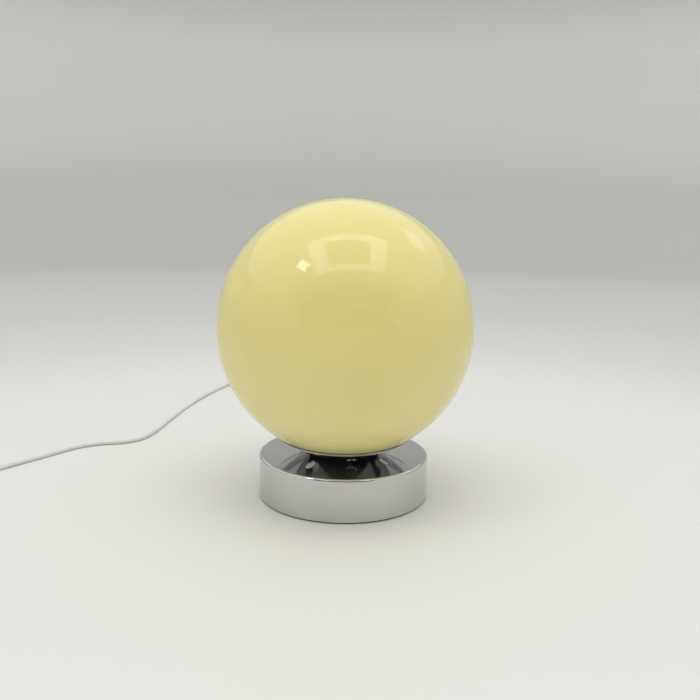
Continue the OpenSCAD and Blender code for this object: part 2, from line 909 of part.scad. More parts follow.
// Moulded clip closed round the coil's turns, with the slit of its latch on the outer side
module coil_clip() {
  inner_w = clip_outer_r - clip_inner_r;
  inner_h = clip_lift - clip_t + coil_step_z + cord_d + fit;
  color("white")
    translate([coil_at[0] - clip_w / 2, coil_at[1] + clip_inner_r, clip_t])
      rotate([90, 0, 90])
        linear_extrude(clip_w)
          difference() {
            union() {
              translate([-clip_t, -clip_t])
                round_box(inner_w + 2 * clip_t, inner_h + 2 * clip_t, clip_corner_r + clip_t);
              translate([inner_w, (inner_h - clip_latch_h) / 2])
                square([clip_t + clip_latch_t, clip_latch_h]);
            }
            round_box(inner_w, inner_h, clip_corner_r);
            translate([inner_w - 1, (inner_h - clip_slit) / 2])
              square([2 * cord_d, clip_slit]);
          }
}

module cord_plug_run() {
  color("whitesmoke")
    tube(smooth(plug_route, 13), cord_d, cord_sides);
}

// Places its children in the middle of the switch, on the table
module at_switch() {
  translate([switch_x, switch_y, 0])
    children();
}

// Rounded outline of the switch, drawn in by a wall
module switch_outline(inset) {
  l = switch_l - 2 * inset;
  w = switch_w - 2 * inset;
  r = switch_corner_r - inset;
  square([w - 2 * r, l], center = true);
  square([w, l - 2 * r], center = true);
  for (x = [-1, 1])
    for (y = [-1, 1])
      translate([x * (w / 2 - r), y * (l / 2 - r)])
        circle(r = r, $fn = small_steps);
}

// Long crown that the top of the switch follows
module switch_crown(top_z, low_z) {
  translate([0, 0, top_z - case_crown_r])
    rotate([0, 90, 0])
      cylinder(r = case_crown_r, h = 2 * switch_w, center = true, $fn = 4 * round_steps);
}

module at_case_screws() {
  for (side = [-1, 1])
    translate([side * case_screw_x, side * case_screw_y, 0])
      children();
}

module cord_way() {
  translate([0, 0, switch_split_z])
    rotate([90, 0, 0])
      cylinder(d = cord_d + 2 * fit, h = switch_l + 2, center = true, $fn = small_steps);
}

// Lower shell with screw posts and the ribs that the cord lies on
module switch_lower_case() {
  rib_y = switch_l / 2 - 6;
  color("white")
    at_switch()
      difference() {
        union() {
          difference() {
            linear_extrude(switch_split_z)
              switch_outline(0);
            translate([0, 0, switch_wall])
              linear_extrude(switch_split_z)
                switch_outline(switch_wall);
          }
          at_case_screws()
            cylinder(r = 3, h = switch_split_z, $fn = small_steps);
          for (side = [-1, 1])
            translate([-5, side * rib_y - 1, 1])
              cube([10, 2, switch_split_z - 1.6]);
        }
        cord_way();
        at_case_screws() {
          translate([0, 0, -1])
            cylinder(d = case_screw_d + 2 * screw_fit, h = far, $fn = small_steps);
          translate([0, 0, -1])
            cylinder(d = 5, h = 3, $fn = small_steps);
        }
      }
}

// Upper shell with its window for the rocker and the cheeks that carry the rocker's pin
module switch_upper_case() {
  window_l = rocker_l + 2 * rocker_gap + 1;
  window_w = rocker_w + 2 * rocker_gap;
  color("white")
    at_switch()
      difference() {
        union() {
          difference() {
            intersection() {
              translate([0, 0, switch_split_z])
                linear_extrude(switch_h)
                  switch_outline(0);
              switch_crown(switch_h);
            }
            intersection() {
              linear_extrude(switch_h)
                switch_outline(switch_wall);
              switch_crown(switch_h - switch_wall);
            }
          }
          at_case_screws()
            translate([0, 0, switch_split_z])
              cylinder(r = 3, h = switch_h - switch_split_z - 2.8, $fn = small_steps);
          for (side = [-1, 1])
            translate([side * (window_w / 2 + cheek_w / 2) - cheek_w / 2, -3.5, rocker_axis_z - 2.6])
              cube([cheek_w, 7, 4.9]);
        }
        translate([-window_w / 2, -window_l / 2, 0])
          cube([window_w, window_l, far]);
        cord_way();
        translate([0, 0, rocker_axis_z])
          rotate([0, 90, 0])
            cylinder(d = rocker_pin_d + 2 * screw_fit, h = window_w + 2 * rocker_pin_l,
              center = true, $fn = small_steps);
        at_case_screws()
          cylinder(d = case_screw_d + 2 * screw_fit, h = switch_h - 4, $fn = small_steps);
      }
}

module switch_screws() {
  color("silver")
    at_switch()
      at_case_screws()
        difference() {
          union() {
            translate([0, 0, 0.4])
              cylinder(d = 4.6, h = 1.5, $fn = small_steps);
            translate([0, 0, 1])
              cylinder(d = case_screw_d, h = 9, $fn = small_steps);
          }
          translate([-3, -0.3, 0])
            cube([6, 0.6, 0.9]);
        }
}

// Fixed strip and springy leaf that the rocker closes
module switch_contacts() {
  strip_w = 5;
  strip_t = 0.5;
  color("goldenrod")
    at_switch()
      for (side = [-1, 1])
        translate([-strip_w / 2, 0, switch_wall])
          rotate([90, 0, 90])
            linear_extrude(strip_w)
              polygon([
                [side * 15, 0], [side * 6, 0], [side * 1.5, 6.2], [side * 1, 6.2],
                [side * 1, 6.2 + strip_t], [side * 2, 6.2 + strip_t],
                [side * 6.5, strip_t], [side * 15, strip_t]
              ]);
}

// Rocker with a dished top, drawn in its rest position with its lamp side down
module switch_rocker() {
  half_l = rocker_l / 2;
  color("white")
    at_switch()
      translate([0, 0, rocker_axis_z])
        rotate([-rocker_tilt, 0, 0])
          union() {
            translate([-rocker_w / 2, 0, 0])
              rotate([90, 0, 90])
                linear_extrude(rocker_w)
                  polygon([
                    [-half_l, 1.6], [-half_l + 0.2, 3.4 + rocker_rise - 0.6],
                    [-half_l + 0.9, 3.4 + rocker_rise], [0, 3.4 + rocker_rise / 2],
                    [half_l - 0.9, 3.4 + rocker_rise], [half_l - 0.2, 3.4 + rocker_rise - 0.6],
                    [half_l, 1.6], [4, -1.6], [-4, -1.6]
                  ]);
            rotate([0, 90, 0])
              cylinder(d = rocker_pin_d, h = rocker_w + 2 * rocker_gap + 2 * rocker_pin_l - 2 * fit,
                center = true, $fn = small_steps);
          }
}

// Moulded plug lying on its flat side, its pins pointing to +Y
module plug_body() {
  end_x = plug_w / 2 - plug_t / 2;
  color("white")
    translate([plug_x, plug_front_y, plug_axis_z])
      rotate([90, 0, 0])
        difference() {
          union() {
            hull() {
              for (side = [-1, 1])
                translate([side * end_x, 0, 0])
                  cylinder(d = plug_t, h = plug_grip_l, $fn = 32);
              translate([0, 0, plug_l - 1])
                cylinder(d = plug_neck_d, h = 1, $fn = 32);
            }
            translate([0, 0, plug_l - 0.5])
              rotate_extrude($fn = small_steps)
                taper_outline(plug_neck_d - 1, cord_d + 1.8, plug_tail_l + 0.5, plug_tail_ribs);
          }
          translate([0, 0, plug_l + plug_tail_l - 6])
            cylinder(d = cord_d + 2 * fit, h = 10, $fn = small_steps);
        }
}

module plug_pins() {
  color("silver")
    for (side = [-1, 1])
      translate([plug_x + side * pin_pitch / 2, plug_front_y, plug_axis_z])
        rotate([-90, 0, 0])
          union() {
            cylinder(d = pin_d, h = pin_l - pin_tip_h, $fn = small_steps);
            translate([0, 0, pin_l - pin_tip_h])
              cylinder(d1 = pin_d, d2 = pin_d - 1.6, h = pin_tip_h, $fn = small_steps);
          }
}

foot_pad();
bottom_plate();
plate_screws();
plate_pillars();
base_weight();
drum_shell();
stem_tube();
lower_washer();
lower_nut();
dish();
seat_ring();
centring_spider();
upper_washer();
upper_nut();
holder_cap();
grub_screw();
holder_insert();
terminal_blocks();
terminal_screws();
centre_contact();
screw_shell();
holder_skirt();
globe();
bulb_contact();
bulb_insulator();
bulb_cap();
bulb_housing();
bulb_led_board();
bulb_dome();
cord_relief();
cord_inner();
lead_live();
lead_neutral();
cord_lamp_run();
switch_lower_case();
switch_upper_case();
switch_screws();
switch_contacts();
switch_rocker();
cord_coil_run();
cord_coil();
coil_clip();
cord_plug_run();
plug_body();
plug_pins();
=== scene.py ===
"""Looks of the globe table lamp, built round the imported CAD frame."""
import math

import bpy
from mathutils import Matrix, Vector


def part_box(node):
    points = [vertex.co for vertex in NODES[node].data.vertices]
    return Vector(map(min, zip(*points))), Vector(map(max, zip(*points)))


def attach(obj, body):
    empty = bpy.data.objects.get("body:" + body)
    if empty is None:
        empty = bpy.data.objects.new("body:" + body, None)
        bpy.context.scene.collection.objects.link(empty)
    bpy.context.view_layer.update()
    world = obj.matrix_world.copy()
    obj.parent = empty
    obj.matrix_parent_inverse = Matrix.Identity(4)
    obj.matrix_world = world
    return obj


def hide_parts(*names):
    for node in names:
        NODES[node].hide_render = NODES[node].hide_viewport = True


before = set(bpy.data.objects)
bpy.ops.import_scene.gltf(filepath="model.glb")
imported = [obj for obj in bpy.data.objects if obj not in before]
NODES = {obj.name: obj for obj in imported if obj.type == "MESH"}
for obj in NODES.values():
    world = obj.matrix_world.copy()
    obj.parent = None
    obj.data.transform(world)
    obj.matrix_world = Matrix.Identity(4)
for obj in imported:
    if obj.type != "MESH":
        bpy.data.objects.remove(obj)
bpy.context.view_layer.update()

SCENE = bpy.context.scene
MM = 0.001

# The photograph's camera: place in millimetres, degrees down and of roll, focal length in its 700 pixels
CAMERA_AT, CAMERA_DOWN, CAMERA_ROLL = Vector((3.9, -625, 238.9)), 11.02, 0.93
FOCAL_PX, FRAME_PX, SENSOR_WIDTH = 809.6, 700, 36
CAMERA_NEAR, CAMERA_FAR = 0.02, 30


def add_camera():
    """The photograph's view: a little above the globe's top, looking slightly down."""
    pitch, roll = math.radians(CAMERA_DOWN), math.radians(CAMERA_ROLL)
    ahead = Vector((0, math.cos(pitch), -math.sin(pitch)))
    side = Vector((1, 0, 0))
    up = Vector((0, math.sin(pitch), math.cos(pitch)))
    right = side * math.cos(roll) + up * math.sin(roll)
    above = up * math.cos(roll) - side * math.sin(roll)
    data = bpy.data.cameras.new("photo_camera")
    data.sensor_width = SENSOR_WIDTH
    data.lens = FOCAL_PX / FRAME_PX * SENSOR_WIDTH
    data.clip_start, data.clip_end = CAMERA_NEAR, CAMERA_FAR
    camera = bpy.data.objects.new("photo_camera", data)
    SCENE.collection.objects.link(camera)
    turn = Matrix((right, above, -ahead)).transposed().to_4x4()
    camera.matrix_world = Matrix.Translation(CAMERA_AT * MM) @ turn
    SCENE.camera = camera


class Look:
    """One material: a Principled shader and the nodes that feed it."""

    def __init__(self, name, **values):
        self.material = bpy.data.materials.new(name)
        self.material.use_nodes = True
        self.tree = self.material.node_tree
        self.shader = self.tree.nodes["Principled BSDF"]
        for key, value in values.items():
            self.shader.inputs[key.replace("_", " ")].default_value = value
        self.place = self.node("ShaderNodeTexCoord").outputs["Object"]
        self.height = None

    def node(self, kind, inputs=None, **settings):
        """Adds a node with its settings, and fills its inputs."""
        made = self.tree.nodes.new(kind)
        for key, value in settings.items():
            setattr(made, key, value)
        for key, value in (inputs or {}).items():
            self.put(made.inputs[key], value)
        return made

    def put(self, socket, value):
        """Links another node's output to a socket, or sets a plain value on it."""
        if isinstance(value, bpy.types.NodeSocket):
            self.tree.links.new(value, socket)
        else:
            socket.default_value = value

    def math(self, operation, a, b=0.0, c=0.0):
        return self.node("ShaderNodeMath", {0: a, 1: b, 2: c}, operation=operation).outputs[0]

    def axes(self):
        """The three coordinates of the place on the surface, in metres."""
        return self.node("ShaderNodeSeparateXYZ", {0: self.place}).outputs

    def stretched(self, scale):
        return self.node("ShaderNodeMapping", {"Vector": self.place, "Scale": scale}).outputs[0]

    def noise(self, scale, detail=3.0, roughness=0.5, stretch=None):
        """Noise around 0.5, drawn out along an axis whose stretch is small."""
        where = self.stretched(stretch) if stretch else self.place
        values = {"Vector": where, "Scale": scale, "Detail": detail, "Roughness": roughness}
        return self.node("ShaderNodeTexNoise", values).outputs["Fac"]

    def cells(self, scale):
        """Distance to the middle of the nearest of many small cells."""
        return self.node("ShaderNodeTexVoronoi", {"Vector": self.place, "Scale": scale}).outputs["Distance"]

    def spread(self, value, low, high, start=0.3, end=0.7):
        """Maps a value from start..end to low..high."""
        values = {"Value": value, "From Min": start, "From Max": end, "To Min": low, "To Max": high}
        return self.node("ShaderNodeMapRange", values).outputs[0]

    def ramp(self, value, stops):
        """Colour that runs through stops of (position, colour)."""
        made = self.node("ShaderNodeValToRGB", {"Fac": value})
        points = made.color_ramp.elements
        points[0].position, points[0].color = stops[0][0], (*stops[0][1], 1)
        points[1].position, points[1].color = stops[-1][0], (*stops[-1][1], 1)
        for position, colour in stops[1:-1]:
            point = points.new(position)
            point.color = (*colour, 1)
        return made.outputs["Color"]

    def blend(self, factor, a, b):
        """Colour a where the factor is 0, colour b where it is 1."""
        made = self.node("ShaderNodeMix", data_type="RGBA")
        for index, value in ((0, factor), (6, a), (7, b)):
            if isinstance(value, tuple):
                value = (*value, 1)
            self.put(made.inputs[index], value)
        return made.outputs[2]

    def colour(self, value):
        self.put(self.shader.inputs["Base Color"], value)

    def rough(self, value, low, high):
        self.put(self.shader.inputs["Roughness"], self.spread(value, low, high))

    def bump(self, value, depth_mm):
        """Adds one layer of relief of that depth."""
        values = {"Height": value, "Distance": depth_mm * MM, "Strength": 1.0}
        if self.height is not None:
            values["Normal"] = self.height
        self.height = self.node("ShaderNodeBump", values).outputs[0]
        self.put(self.shader.inputs["Normal"], self.height)

    def thread(self, pitch_mm, depth_mm):
        """Relief of a screw thread about the Z axis."""
        x, y, z = self.axes()
        turn = self.math("DIVIDE", self.math("ARCTAN2", y, x), 2 * math.pi)
        rise = self.math("MULTIPLY_ADD", z, 1 / (pitch_mm * MM), turn)
        self.bump(self.math("PINGPONG", rise, 0.5), depth_mm)


# How deep light goes into the outer and the inner face of the glass, in metres
OUTER_DEPTH, INNER_DEPTH = 0.004, 0.03
# Heights between which the glass runs from its lower to its upper colour, in metres: painted light and
# shade, lighter towards the bottom and darkest about the middle
PAINTED_LIGHT_LOW, PAINTED_LIGHT_HIGH = 0.04, 0.24


def opal_glass():
    """Blown opal glass, cloudy and polished: cream outside, painted lighter towards the bottom and darker
    about the middle, and a whiter inside that light comes through.
    """
    look = Look("opal_glass", IOR=1.5, Subsurface_Weight=1.0)
    look.shader.inputs["Subsurface Radius"].default_value = (1.0, 0.95, 0.8)
    cloud = look.noise(9, 2, 0.5)
    height = look.spread(look.axes()[2], 0, 1, PAINTED_LIGHT_LOW, PAINTED_LIGHT_HIGH)
    # Half cloud, half height: the height half paints light low on the globe and shade about its middle
    cloud_and_painted_light = look.math("MULTIPLY_ADD", cloud, 0.5, look.math("MULTIPLY", height, 0.5))
    cream = [(0.1, (0.95, 0.85, 0.42)), (0.5, (0.84, 0.74, 0.305)), (0.9, (0.86, 0.76, 0.30))]
    white = [(0.3, (0.84, 0.83, 0.70)), (0.7, (0.87, 0.86, 0.74))]
    low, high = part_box("globe")
    radius = (high[0] - low[0]) / 2
    middle = (0, 0, high[2] - radius)
    away = look.node("ShaderNodeVectorMath", {0: look.place, 1: middle}, operation="DISTANCE")
    inside = look.spread(away.outputs["Value"], 1, 0, radius - 2 * MM, radius - 1 * MM)
    look.colour(look.blend(inside, look.ramp(cloud_and_painted_light, cream), look.ramp(cloud, white)))
    look.put(look.shader.inputs["Subsurface Scale"], look.spread(inside, OUTER_DEPTH, INNER_DEPTH, 0, 1))
    look.rough(look.noise(60, 4, 0.6), 0.035, 0.085)
    look.bump(look.noise(14, 1, 0.3), 0.25)
    look.bump(look.noise(420, 2, 0.5), 0.004)
    return look.material


def chrome(name, tone):
    """Chrome over spun and drawn sheet: wipe marks, dust and a slight waviness."""
    look = Look(name, Metallic=0.95)
    smear = look.noise(22, 4, 0.6, (1, 1, 2.5))
    stops = [(0.25, (0.93, 0.94, 0.945)), (0.6, (1.0, 1.0, 1.005)), (0.85, (1.03, 1.035, 1.04))]
    look.colour(look.ramp(smear, [(at, tuple(tone * part for part in shade)) for at, shade in stops]))
    look.rough(look.noise(75, 5, 0.65, (1, 1, 3)), 0.025, 0.075)
    look.bump(look.noise(16, 1, 0.4), 0.035)
    look.bump(look.noise(900, 2, 0.6), 0.0015)
    return look.material


def zinc_steel():
    """Zinc-plated steel of the inner plates, nuts and screws."""
    look = Look("zinc_steel", Metallic=1.0)
    stops = [(0.3, (0.42, 0.43, 0.45)), (0.55, (0.53, 0.54, 0.55)), (0.8, (0.60, 0.60, 0.58))]
    look.colour(look.ramp(look.noise(180, 4, 0.6), stops))
    look.rough(look.noise(300, 3, 0.6, (1, 1, 0.15)), 0.22, 0.42)
    look.bump(look.noise(700, 3, 0.5, (1, 1, 0.2)), 0.02)
    return look.material


def enamelled_iron():
    """Black enamel over the rough skin of a casting."""
    look = Look("enamelled_iron")
    look.colour(look.ramp(look.noise(60, 5, 0.6), [(0.3, (0.018, 0.018, 0.02)), (0.7, (0.04, 0.04, 0.042))]))
    look.rough(look.noise(140, 3), 0.35, 0.6)
    look.bump(look.noise(260, 4, 0.6), 0.18)
    return look.material


def foot_foam():
    """Dark foam with small pores."""
    look = Look("foot_foam")
    pores = look.cells(900)
    look.colour(look.ramp(pores, [(0.05, (0.008, 0.008, 0.009)), (0.5, (0.03, 0.03, 0.032))]))
    look.rough(look.noise(200), 0.8, 0.98)
    look.bump(pores, 0.25)
    return look.material


# Depth of the thread drawn on the stem, in millimetres
THREAD_DEPTH = 0.5


def brass(name="bare_brass", pitch=None):
    """Brass with some tarnish, and a thread where a pitch in millimetres is given."""
    look = Look(name, Metallic=1.0)
    stops = [(0.3, (0.46, 0.30, 0.11)), (0.55, (0.66, 0.46, 0.18)), (0.8, (0.74, 0.55, 0.25))]
    look.colour(look.ramp(look.noise(130, 5, 0.65), stops))
    look.rough(look.noise(240, 3, 0.6), 0.16, 0.36)
    look.bump(look.noise(800, 3), 0.01)
    if pitch:
        look.thread(pitch, THREAD_DEPTH)
    return look.material


def seat_rubber():
    """Milky silicone."""
    look = Look("seat_rubber", Subsurface_Weight=0.3, Subsurface_Scale=0.002)
    look.colour(look.ramp(look.noise(90, 3), [(0.3, (0.72, 0.71, 0.66)), (0.7, (0.80, 0.79, 0.75))]))
    look.rough(look.noise(300), 0.35, 0.55)
    look.bump(look.noise(650, 2), 0.03)
    return look.material


def holder_plastic():
    """Ivory moulded plastic of the lampholder's cap and skirt."""
    look = Look("holder_plastic")
    look.colour(look.ramp(look.noise(110, 5, 0.7), [(0.3, (0.76, 0.75, 0.70)), (0.75, (0.82, 0.81, 0.77))]))
    look.rough(look.noise(220, 3), 0.2, 0.36)
    look.bump(look.noise(500, 3), 0.02)
    return look.material


def glazed_ceramic():
    """Porcelain with brown specks under its glaze."""
    look = Look("glazed_ceramic", Coat_Weight=0.6, Coat_Roughness=0.06)
    specks = look.spread(look.cells(420), 1, 0, 0.03, 0.12)
    body = look.ramp(look.noise(70, 4), [(0.3, (0.74, 0.71, 0.62)), (0.7, (0.83, 0.81, 0.74))])
    look.colour(look.blend(look.math("MULTIPLY", specks, 0.35), body, (0.30, 0.25, 0.18)))
    look.rough(look.noise(160), 0.18, 0.4)
    look.bump(look.noise(120, 3), 0.12)
    return look.material


def nickel(name):
    """Nickel plate with fine turning marks."""
    look = Look(name, Metallic=1.0)
    look.colour(look.ramp(look.noise(120, 5, 0.6), [(0.3, (0.50, 0.48, 0.44)), (0.7, (0.66, 0.64, 0.59))]))
    look.rough(look.noise(400, 4, 0.6, (1, 1, 0.2)), 0.12, 0.28)
    look.bump(look.noise(900, 2, 0.5, (1, 1, 0.2)), 0.01)
    return look.material


def bead_glass():
    """Black glass bead of the bulb's cap."""
    look = Look("bead_glass", IOR=1.52)
    look.colour(look.ramp(look.noise(200, 3), [(0.3, (0.008, 0.008, 0.010)), (0.7, (0.02, 0.02, 0.022))]))
    look.rough(look.noise(300), 0.06, 0.18)
    look.bump(look.noise(260, 2), 0.05)
    return look.material


def bulb_shell(name, low, high, depth, grain):
    """White shell of the bulb: its roughness, and the depth in millimetres and fineness of its grain."""
    look = Look(name)
    look.colour(look.ramp(look.noise(40, 4, 0.6), [(0.3, (0.80, 0.80, 0.77)), (0.7, (0.87, 0.87, 0.85))]))
    look.rough(look.noise(180, 3), low, high)
    look.bump(look.noise(grain, 3, 0.6), depth)
    return look.material


# Height of the board's face, above which its chips stand, in metres
BOARD_FACE = 0.14


def bulb_board():
    """White board whose raised chips have a yellow window."""
    look = Look("bulb_board")
    white = look.ramp(look.noise(90, 3), [(0.3, (0.76, 0.77, 0.76)), (0.7, (0.84, 0.84, 0.82))])
    chip = look.spread(look.axes()[2], 0, 1, BOARD_FACE - 0.05 * MM, BOARD_FACE + 0.05 * MM)
    look.colour(look.blend(chip, white, (0.80, 0.55, 0.06)))
    look.rough(look.noise(300), 0.35, 0.55)
    look.bump(look.noise(600), 0.02)
    return look.material


def cord_sheath(name):
    """White flexible sheath, slightly uneven over its cores, with dust in its dull skin."""
    look = Look(name)
    stops = [(0.25, (0.66, 0.66, 0.63)), (0.55, (0.76, 0.76, 0.74)), (0.8, (0.80, 0.80, 0.78))]
    look.colour(look.ramp(look.noise(55, 5, 0.65), stops))
    look.rough(look.noise(200, 4, 0.6), 0.32, 0.52)
    look.bump(look.noise(130, 2, 0.5), 0.10)
    look.bump(look.noise(1100, 2, 0.5), 0.012)
    return look.material


def lead_sleeve(name, dark, light):
    """Coloured sleeve of one lead."""
    look = Look(name)
    look.colour(look.ramp(look.noise(150, 4), [(0.3, dark), (0.7, light)]))
    look.rough(look.noise(300), 0.25, 0.42)
    look.bump(look.noise(700), 0.02)
    return look.material


def moulded(name, low, high, depth, grain):
    """White moulded plastic: its roughness, and the depth in millimetres and fineness of its grain."""
    look = Look(name)
    look.colour(look.ramp(look.noise(65, 4, 0.6), [(0.3, (0.77, 0.77, 0.75)), (0.7, (0.83, 0.83, 0.81))]))
    look.rough(look.noise(260, 4, 0.6), low, high)
    look.bump(look.noise(grain, 3, 0.7), depth)
    return look.material


def dress_nodes():
    """Gives every CAD node that stays its material."""
    steel, sheath = zinc_steel(), cord_sheath("cord_sheath")
    bare_brass, case = brass(), moulded("switch_grain", 0.28, 0.46, 0.03, 1500)
    looks = {
        chrome("drum_chrome", tone=0.615): ["drum_shell"],
        # The dish's chrome is a darker copy of the drum's: painted shade in the hollow under the globe
        chrome("dish_chrome_painted_shade", tone=0.46): ["dish"],
        opal_glass(): ["globe"],
        steel: [
            "bottom_plate", "plate_screws", "plate_pillars", "lower_washer", "lower_nut", "centring_spider",
            "upper_washer", "upper_nut", "grub_screw", "terminal_screws", "switch_screws",
        ],
        enamelled_iron(): ["base_weight"],
        foot_foam(): ["foot_pad"],
        bare_brass: ["terminal_blocks", "centre_contact", "screw_shell", "switch_contacts"],
        brass("threaded_brass", pitch=1.0): ["stem_tube"],
        seat_rubber(): ["seat_ring"],
        holder_plastic(): ["holder_cap", "holder_skirt"],
        glazed_ceramic(): ["holder_insert"],
        nickel("bulb_nickel"): ["bulb_contact", "bulb_cap"],
        bead_glass(): ["bulb_insulator"],
        bulb_shell("bulb_housing_grain", 0.28, 0.42, 0.02, 900): ["bulb_housing"],
        bulb_shell("bulb_dome_frost", 0.5, 0.68, 0.03, 1300): ["bulb_dome"],
        bulb_board(): ["bulb_led_board"],
        sheath: ["cord_relief", "cord_inner"],
        lead_sleeve("lead_brown", (0.055, 0.022, 0.010), (0.095, 0.040, 0.018)): ["lead_live"],
        lead_sleeve("lead_blue", (0.012, 0.05, 0.26), (0.02, 0.08, 0.36)): ["lead_neutral"],
        case: ["switch_lower_case", "switch_upper_case", "coil_clip"],
        moulded("rocker_gloss", 0.14, 0.26, 0.01, 500): ["switch_rocker"],
        moulded("plug_grain", 0.32, 0.5, 0.04, 1200): ["plug_body"],
        nickel("pin_nickel"): ["plug_pins"],
    }
    for material, names in looks.items():
        for name in names:
            for slot in NODES[name].material_slots:
                slot.material = material


# The cord's routes, in millimetres: out of the strain relief, down to the table and round to the switch
EXIT_Y, EXIT_Z = 93.5, 12
LAMP_ROUTE = [
    (0, EXIT_Y, EXIT_Z), (0, EXIT_Y + 5, EXIT_Z), (0, EXIT_Y + 17, 10.4), (0, EXIT_Y + 31, 6),
    (0, EXIT_Y + 45, 2.8), (-1, EXIT_Y + 59, 2),
    (-3, 190, 2), (-8, 235, 2), (-16, 280, 2), (-28, 325, 2), (-45, 366, 2), (-68, 397, 2),
    (-96, 410, 2), (-122, 401, 2), (-140, 376, 2), (-153, 342, 2), (-166, 300, 2),
    (-177, 250, 2), (-184, 200, 2), (-189, 158, 2), (-195, 132, 2), (-209, 117, 2),
    (-230, 111, 2), (-250, 98, 2), (-270, 71, 2), (-288, 47, 2), (-305, 22, 2),
    (-316, -1, 2.4), (-321, -15, 5), (-322, -28, 7.5), (-322, -44, 7.5),
]
# Out of the switch to the coil, and from the coil to the plug
COIL_ROUTE = [
    (-322, -90, 7.5), (-322, -103, 7.5), (-322, -114, 5.2), (-322, -126, 2.4),
    (-322, -136, 2), (-322, -142, 2),
]
PLUG_ROUTE = [
    (-378, -142, 6.5), (-378, -137, 6.5), (-378, -126, 4.4), (-378, -114, 2.2), (-378, -102, 2),
    (-378, -90, 2.2), (-378, -78, 4.6), (-378, -67, 6.7), (-378, -56, 6.7),
]
# The coil: middle, outer and inner radius, turns, and points drawn for a turn
COIL_AT, COIL_OUTER, COIL_INNER, COIL_TURNS, COIL_POINTS = (-350, -146), 28, 17.65, 4.5, 72
# Height between its two layers, how far both rise at the clip, and how close to the clip they do
COIL_STEP, CLIP_LIFT, CLIP_SHARPNESS = 4.5, 1.1, 8
# The cord's thickness, the height of its middle as it lies, and the drawn pieces of each run's curve
CORD_D, LYING_Z, LAMP_REACH, PLUG_REACH = 4, 2, 4, 3
# Steps of a quarter of the cord's round section
CORD_STEPS = 6


def smooth(route, reach):
    """Points about a reach apart on an even curve through a route's points."""
    points, last = [Vector(p) for p in route], len(route) - 1
    made = []
    for i in range(last):
        b, c, d, e = points[max(i - 1, 0)], points[i], points[i + 1], points[min(i + 2, last)]
        steps = max(1, math.ceil((d - c).length / reach))
        for s in range(steps):
            p = s / steps
            made.append(0.5 * (2 * c + (d - b) * p + (2 * b - 5 * c + 4 * d - e) * p * p
                               + (3 * c - b - 3 * d + e) * p ** 3))
    return made + [points[last]]


def coil_points():
    """A spiral in and out again, its second layer on the first, both raised a little at the clip."""
    made, half = [], COIL_TURNS / 2
    for i in range(1, int(COIL_TURNS * COIL_POINTS)):
        q = i / COIL_POINTS
        radius = COIL_INNER + (COIL_OUTER - COIL_INNER) * abs(q - half) / half
        climb = min(1, max(0, (q - half) * 2 + 0.5))
        turn = -2 * math.pi * q
        lift = CLIP_LIFT * max(0, math.sin(turn)) ** CLIP_SHARPNESS
        z = LYING_Z + COIL_STEP * (1 - math.cos(math.pi * climb)) / 2 + lift
        made.append(Vector((COIL_AT[0] + radius * math.cos(turn), COIL_AT[1] + radius * math.sin(turn), z)))
    return made


def add_curve(name, points, radius, material):
    """One open spline with a round section, in metres."""
    data = bpy.data.curves.new(name, "CURVE")
    data.dimensions = "3D"
    data.bevel_depth, data.bevel_resolution, data.use_fill_caps = radius * MM, CORD_STEPS, True
    spline = data.splines.new("POLY")
    spline.points.add(len(points) - 1)
    for point, place in zip(spline.points, points):
        point.co = (*(Vector(place) * MM), 1)
    spline.use_smooth = True
    made = bpy.data.objects.new(name, data)
    SCENE.collection.objects.link(made)
    data.materials.append(material)
    return made


def add_cords(material):
    """The two sheathed runs: lamp to switch, and switch to plug with the spare length in its coil."""
    first = smooth(LAMP_ROUTE, LAMP_REACH)
    run = add_curve("cord_to_switch", first, CORD_D / 2, material)
    second = smooth(COIL_ROUTE, PLUG_REACH) + coil_points() + smooth(PLUG_ROUTE, PLUG_REACH)
    coil = add_curve("cord_to_plug", second, CORD_D / 2, material)
    for piece in (run, coil):
        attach(piece, "base")
    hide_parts("cord_lamp_run")
    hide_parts("cord_coil_run", "cord_coil", "cord_plug_run")


# The sweep, in metres: where its floor ends, the bend's radius, the wall's top, and its steps
FLOOR_R, BEND_R, WALL_TOP, BEND_STEPS, ROUND_STEPS = 2.0, 0.5, 1.25, 12, 96
# Its tone along the floor and up the wall, by distance from the lamp's axis plus height: painted light and
# shade, paler near the lamp and in a band where the bend meets the wall, darker between and towards the
# wall's top
PAINTED_LIGHT_TONES = [
    (0.3, 0.765), (0.45, 0.765), (0.68, 0.695), (1.02, 0.65), (1.58, 0.665), (2.23, 0.65),
    (2.67, 0.675), (2.96, 0.84), (3.07, 0.87), (3.24, 0.86), (3.36, 0.77), (3.45, 0.68),
]
TONES_SPAN, TONES_BLUE = 4, 0.965


